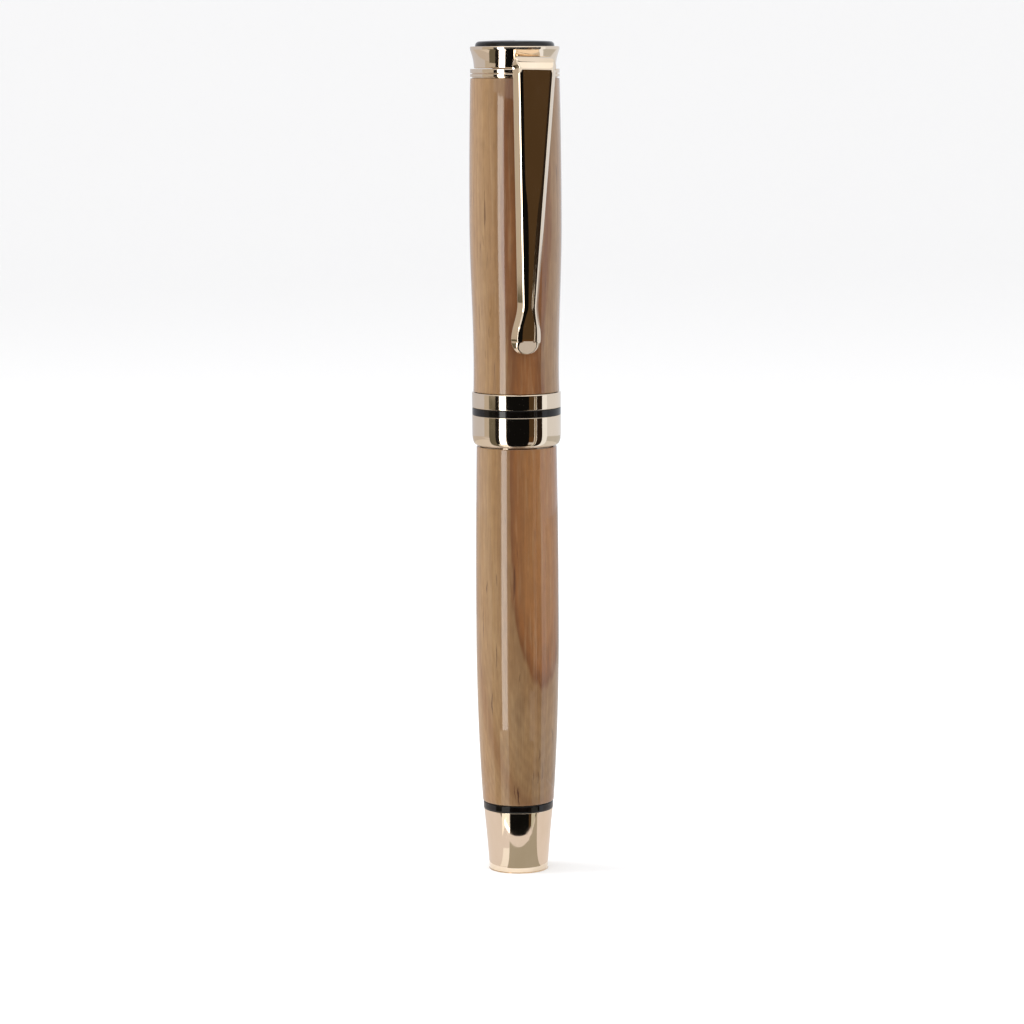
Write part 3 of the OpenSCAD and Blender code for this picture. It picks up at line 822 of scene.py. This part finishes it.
def mirrored(name, left, right, rims, colour, glow):
    """A card round the pen between two azimuths from the camera, in degrees, seen only in reflections.

    rims are its two edges, as (distance, height, power). At power 0 a rim lies on a circle about the pen, at
    power 1 it runs square to the camera's line of sight, and at power -1 it curves the other way.
    """
    steps = 24
    verts = []
    for i in range(steps + 1):
        azimuth = math.radians(left + (right - left) * i / steps)
        for distance, height, power in rims:
            reach = distance / max(STRAIGHT_LIMIT, math.cos(azimuth)) ** power
            a = CAMERA_AZIMUTH + azimuth
            verts.append((reach * math.sin(a), -reach * math.cos(a), height))
    faces = [(2 * i, 2 * i + 2, 2 * i + 3, 2 * i + 1) for i in range(steps)]
    obj = staged(name, verts, faces, glowing(name, colour, glow))
    obj.visible_camera = False
    obj.visible_shadow = False
    obj.visible_diffuse = False


def soft_light(name, place, target, size, power):
    light = bpy.data.lights.new(name, "AREA")
    light.shape = "RECTANGLE"
    light.size, light.size_y = size
    light.energy = power
    obj = bpy.data.objects.new(name, light)
    bpy.context.scene.collection.objects.link(obj)
    obj.location = place
    obj.rotation_euler = (Vector(target) - Vector(place)).to_track_quat("-Z", "Y").to_euler()
    obj.visible_camera = False
    obj.visible_glossy = False


sweep()
# What the pen's gloss mirrors. Its dark sectors stand on the floor and reach in to NEAR in front of the pen
WALL_R, WALL_TOP, LOW_TOP, TALL = 0.52, 0.145, 0.034, 0.9
NEAR, STRAIGHT_LIMIT, SKIRT_Z = 0.020, 0.45, 0.0004
# Name, azimuths from the camera in degrees, colour, glow, height of the wall and far edge on the floor
CARDS = [
    ("grey_left", -180, -92, (0.62, 0.62, 0.66), 1.0, TALL, None),
    ("shade_left", -92, -76, (0.55, 0.50, 0.43), 1.0, TALL, None),
    ("olive_left", -76, -57, (0.15, 0.135, 0.095), 1.0, LOW_TOP, WALL_R),
    ("dark_left", -57, -46, (0.012, 0.010, 0.008), 1.0, WALL_TOP, WALL_R),
    ("strip_left", -44.5, -29, (1.0, 1.0, 0.98), 5.0, WALL_TOP, WALL_R),
    ("room_dark", -27, 33, (0.005, 0.005, 0.005), 1.0, WALL_TOP, WALL_R),
    ("room_brown", 33, 47, (0.080, 0.048, 0.022), 1.0, WALL_TOP, 0.09),
    ("room_gap", 48, 53, (0.34, 0.30, 0.24), 1.0, LOW_TOP, WALL_R),
    ("dark_right", 54, 70, (0.022, 0.014, 0.009), 1.0, WALL_TOP, WALL_R),
    ("white_right", 70, 86, (0.98, 1.04, 1.12), 1.0, TALL, WALL_R),
    ("grey_right", 86, 180, (0.78, 0.81, 0.86), 1.0, TALL, None),
]
for name, left, right, colour, glow, top, reach in CARDS:
    mirrored(name, left, right, [(WALL_R, 0.0, 0), (WALL_R, top, 0)], colour, glow)
    if reach:
        mirrored("floor_" + name, left, right, [(NEAR, SKIRT_Z, 0.6), (reach, SKIRT_Z, 0)], colour, glow)
# More cards on the floor, where a higher one covers the others: name, azimuths, near and far rims as
# (distance, power), height and colour
FLOOR_CARDS = [
    ("floor_left", -180, -76, (0.06, 0), (0.28, 0), SKIRT_Z, (0.74, 0.69, 0.64)),
    ("floor_left_far", -180, -76, (0.28, 0), (WALL_R, 0), SKIRT_Z, (0.60, 0.55, 0.51)),
    ("floor_right", 86, 180, (0.06, 0), (0.20, 0), SKIRT_Z, (0.72, 0.72, 0.71)),
    ("floor_right_far", 86, 180, (0.20, 0), (WALL_R, 0), SKIRT_Z, (0.56, 0.56, 0.54)),
    ("floor_toe", 33, 47, (0.09, 0), (0.15, 0), SKIRT_Z, (0.60, 0.58, 0.57)),
    ("floor_brown", 33, 47, (0.15, 0), (WALL_R, 0), SKIRT_Z, (0.11, 0.055, 0.020)),
    ("floor_ring", -180, 180, (0.007, 0), (0.06, 0), 0.0002, (0.83, 0.77, 0.75)),
    # Painted shade: this grey card stands for the floor shadowed close to the pen, and only the gloss mirrors
    # it
    ("floor_near_shade", -29, 62, (0.0065, 0), (0.0159, 1), 0.0003, (0.44, 0.41, 0.34)),
    ("floor_beige", 41, 64, (0.0165, 1), (0.06, 0), 0.0005, (0.60, 0.60, 0.51)),
    ("floor_strip", -44, -29, (0.0205, 0.8), (0.10, 0), 0.0005, (1.25, 1.22, 1.12)),
    ("floor_strip_left", -54, -44, (0.034, -1), (0.10, 0), 0.0005, (1.25, 1.22, 1.12)),
    ("floor_strip_near", -50, -29, (0.0065, 0), (0.0150, 0), 0.0005, (1.05, 1.03, 1.0)),
]
for name, left, right, near, far, height, colour in FLOOR_CARDS:
    mirrored(name, left, right, [(near[0], height, near[1]), (far[0], height, far[1])], colour, 1.0)
mirrored("shade_high", -76, -56, [(WALL_R, LOW_TOP, 0), (WALL_R, TALL, 0)], (0.55, 0.50, 0.43), 1.0)
mirrored("gap_high", 47, 54, [(WALL_R, LOW_TOP, 0), (WALL_R, WALL_TOP, 0)], (0.030, 0.020, 0.012), 1.0)
mirrored("window", 10, 70, [(WALL_R, 0.24, 0), (WALL_R, TALL, 0)], (1.22, 1.22, 1.22), 1.0)
mirrored("bar", 15, 65, [(0.318, 0.646, 0), (0.215, 0.697, 0)], (0.05, 0.04, 0.03), 1.0)
mirrored("ceiling", -180, 180, [(0.001, 0.75, 0), (0.20, 0.75, 0)], (1.35, 1.35, 1.35), 1.0)
soft_light("overhead", (-0.15, -0.25, 0.9), (0, 0, 0.07), (0.9, 0.9), 1.0)
for name, azimuth, power in (("left_soft", -95, 5.0), ("right_soft", 95, 1.3)):
    a = CAMERA_AZIMUTH + math.radians(azimuth)
    soft_light(name, (0.7 * math.sin(a), -0.7 * math.cos(a), 0.25), (0, 0, 0.07), (0.5, 0.7), power)

world = bpy.data.worlds.new("white_room")
bpy.context.scene.world = world
world.use_nodes = True
world.node_tree.nodes["Background"].inputs["Color"].default_value = (1.0, 1.0, 1.0, 1)
world.node_tree.nodes["Background"].inputs["Strength"].default_value = 0.95
bpy.context.scene.view_settings.view_transform = "Standard"


def make_camera():
    """The camera looks slightly down on the pen, and is turned a little about its own line of sight."""
    data = bpy.data.cameras.new("camera")
    data.sensor_width = 36.0
    data.lens = 125.1
    data.shift_x = -0.0049
    data.clip_start = 0.01
    obj = bpy.data.objects.new("camera", data)
    bpy.context.scene.collection.objects.link(obj)
    elevation, distance, roll = math.radians(7.2), 0.6, math.radians(-0.28)
    target = Vector((0, 0, 61.1 * MM))
    outward = Vector((
        math.sin(CAMERA_AZIMUTH) * math.cos(elevation),
        -math.cos(CAMERA_AZIMUTH) * math.cos(elevation),
        math.sin(elevation),
    ))
    turn = (-outward).to_track_quat("-Z", "Y").to_matrix() @ Matrix.Rotation(roll, 3, "Z")
    obj.matrix_world = Matrix.Translation(target + outward * distance) @ turn.to_4x4()
    bpy.context.scene.camera = obj


make_camera()
